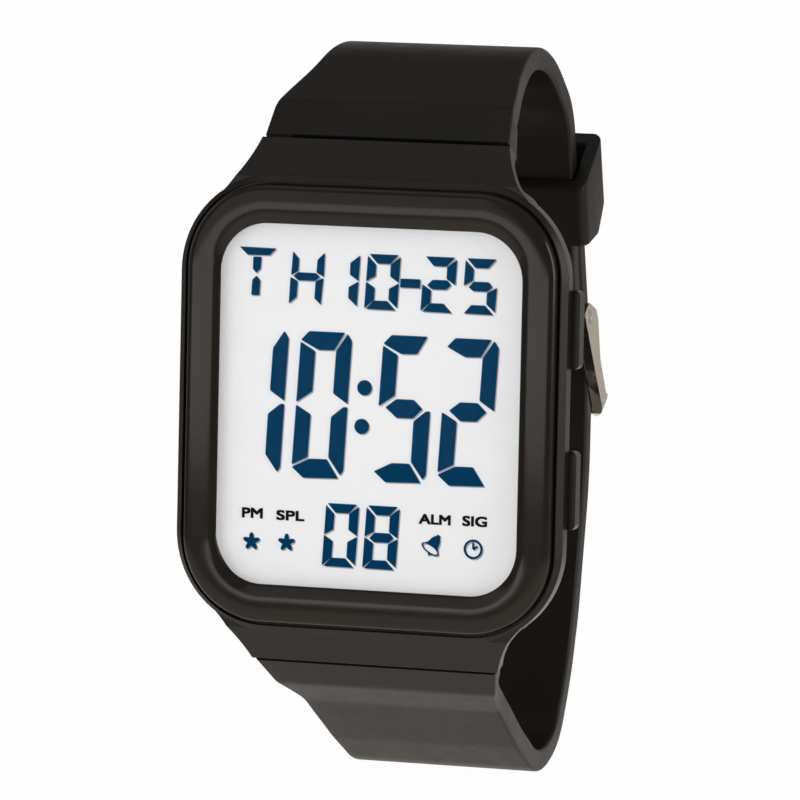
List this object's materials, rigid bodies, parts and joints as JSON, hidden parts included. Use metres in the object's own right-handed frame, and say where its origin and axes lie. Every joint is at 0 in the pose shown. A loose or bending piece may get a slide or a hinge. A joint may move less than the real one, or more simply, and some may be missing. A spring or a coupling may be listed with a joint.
{
  "type": "digital wristwatch",
  "caption": "Square digital wristwatch with a glossy rounded bezel, side push buttons and a tapered resin strap closed in a loop by a steel pin buckle and a keeper.",
  "frame": {"origin": "centre of the case back's outer face, which rests on the wrist", "axes": "+X towards 3 o'clock (the wearer's right as the dial is read), +Y from the dial towards the wrist, +Z towards 12 o'clock; the dial faces -Y"},
  "size_m": [0.0398, 0.0477, 0.0707],
  "materials": {
    "case_resin": "satin",
    "bezel_gloss": "polished",
    "crystal_clear": "clear",
    "display_glass": "pale",
    "pale_plastic": "matte",
    "dark_plastic": "matte",
    "board_green": "matte",
    "lamp_yellow": "gloss",
    "black_rubber": "matte",
    "strap_resin": "matte",
    "steel": "brushed",
    "buckle_steel": "polished",
    "sounder_brass": "satin"
  },
  "bodies": {
    "watch": {"case_body": "case_resin", "bezel": "bezel_gloss", "bezel_seal": "black_rubber", "crystal": "crystal_clear", "lcd_glass": "display_glass", "lightguide": "pale_plastic", "backlight_led": "lamp_yellow", "contact_strips": "black_rubber", "module_frame": "pale_plastic", "circuit_board": "board_green", "chip_cover": "dark_plastic", "quartz_can": "steel", "capacitors": "pale_plastic", "battery_holder": "dark_plastic", "coin_cell": "steel", "battery_contact": "steel", "battery_clamp": "steel", "buzzer_spring": "steel", "buzzer_disc": "sounder_brass", "back_gasket": "black_rubber", "case_back": "steel", "back_screws": "steel", "strap_upper": "strap_resin", "strap_lower": "strap_resin", "spring_bar_upper": "steel", "spring_bar_lower": "steel", "spring_bar_tips": "steel", "buckle_bar": "steel", "switch_spring_upper_right": "steel", "switch_spring_lower_right": "steel", "switch_spring_upper_left": "steel", "switch_spring_lower_left": "steel"},
    "button_upper_right": {"button_upper_right": "case_resin", "button_seal_upper_right": "black_rubber", "button_clip_upper_right": "steel"},
    "button_lower_right": {"button_lower_right": "case_resin", "button_seal_lower_right": "black_rubber", "button_clip_lower_right": "steel"},
    "button_upper_left": {"button_upper_left": "case_resin", "button_seal_upper_left": "black_rubber", "button_clip_upper_left": "steel"},
    "button_lower_left": {"button_lower_left": "case_resin", "button_seal_lower_left": "black_rubber", "button_clip_lower_left": "steel"},
    "keeper": {"keeper": "strap_resin"},
    "buckle_frame": {"buckle_frame": "buckle_steel"},
    "buckle_tongue": {"buckle_tongue": "buckle_steel"}
  },
  "joints": [
    {"name": "press_upper_right", "type": "slide", "parent": "watch", "child": "button_upper_right", "axis": [-1, 0, 0], "range_m": [0, 0.0005], "stiffness_N_per_m": 1500, "springref_m": -0.0002},
    {"name": "press_lower_right", "type": "slide", "parent": "watch", "child": "button_lower_right", "axis": [-1, 0, 0], "range_m": [0, 0.0005], "stiffness_N_per_m": 1500, "springref_m": -0.0002},
    {"name": "press_upper_left", "type": "slide", "parent": "watch", "child": "button_upper_left", "axis": [1, 0, 0], "range_m": [0, 0.0005], "stiffness_N_per_m": 1500, "springref_m": -0.0002},
    {"name": "press_lower_left", "type": "slide", "parent": "watch", "child": "button_lower_left", "axis": [1, 0, 0], "range_m": [0, 0.0005], "stiffness_N_per_m": 1500, "springref_m": -0.0002},
    {"name": "keeper_slide", "type": "slide", "parent": "watch", "child": "keeper", "axis": [0, 0.2672, -0.9636], "range_m": [0, 0.0035]},
    {"name": "buckle_hinge", "type": "hinge", "parent": "watch", "child": "buckle_frame", "pos_m": [0, 0.02892, 0.00661], "axis": [1, 0, 0], "range_deg": [0, 4]},
    {"name": "tongue_hinge", "type": "hinge", "parent": "buckle_frame", "child": "buckle_tongue", "pos_m": [0, 0.02892, 0.00661], "axis": [1, 0, 0], "range_deg": [0, 4]}
  ]
}
